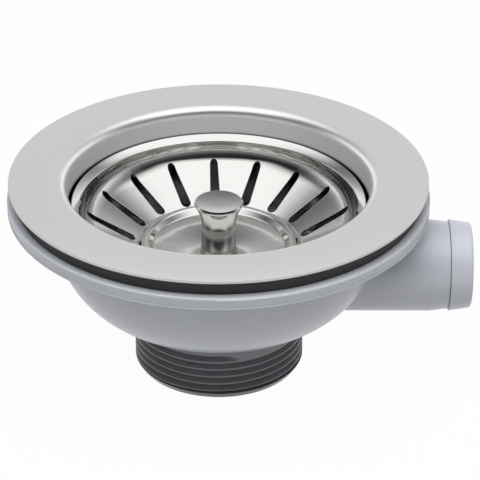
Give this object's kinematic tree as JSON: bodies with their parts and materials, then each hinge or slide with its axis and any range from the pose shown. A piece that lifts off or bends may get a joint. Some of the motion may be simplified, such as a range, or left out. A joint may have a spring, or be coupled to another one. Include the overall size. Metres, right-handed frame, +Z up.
{
  "type": "sink strainer",
  "caption": "Kitchen sink basket strainer waste with a lift-out slotted basket and stopper, flanged dish, plastic bowl with side overflow spigot and threaded outlet tail.",
  "frame": {"origin": "centre of the outlet tail's mouth", "axes": "+Z up along the drain axis, +X out along the overflow spigot"},
  "size_m": [0.1292, 0.117, 0.0579],
  "materials": {
    "satin_stainless": "satin brushed stainless steel sheet",
    "polished_stainless": "bright polished stainless steel",
    "plain_stainless": "turned stainless steel",
    "light_grey_plastic": "moulded light grey polypropylene",
    "dark_grey_plastic": "moulded dark grey polypropylene",
    "black_rubber": "moulded black rubber",
    "brass": "turned brass"
  },
  "bodies": {
    "waste_body": {"sink_flange": "satin_stainless", "flange_gasket": "black_rubber", "sink_washer": "black_rubber", "outlet_bowl": "light_grey_plastic", "spigot_collar": "light_grey_plastic", "spigot_seal": "black_rubber", "outlet_tail": "dark_grey_plastic", "tail_seal": "black_rubber", "fixing_screw": "plain_stainless", "screw_washer": "plain_stainless", "fixing_nut": "brass"},
    "stopper": {"stopper_plate": "dark_grey_plastic", "stopper_seal": "black_rubber"},
    "basket": {"basket": "polished_stainless", "lift_knob": "polished_stainless", "basket_stem": "plain_stainless", "stem_washer": "plain_stainless", "retaining_clip": "plain_stainless", "stem_sealing_ring": "black_rubber"}
  },
  "joints": [
    {"name": "basket_lift", "type": "slide", "parent": "waste_body", "child": "stopper", "axis": [0, 0, 1], "range_m": [0, 0.05]},
    {"name": "basket_turn", "type": "hinge", "parent": "stopper", "child": "basket", "pos_m": [0, 0, 0.036], "axis": [0, 0, 1], "continuous": true}
  ]
}
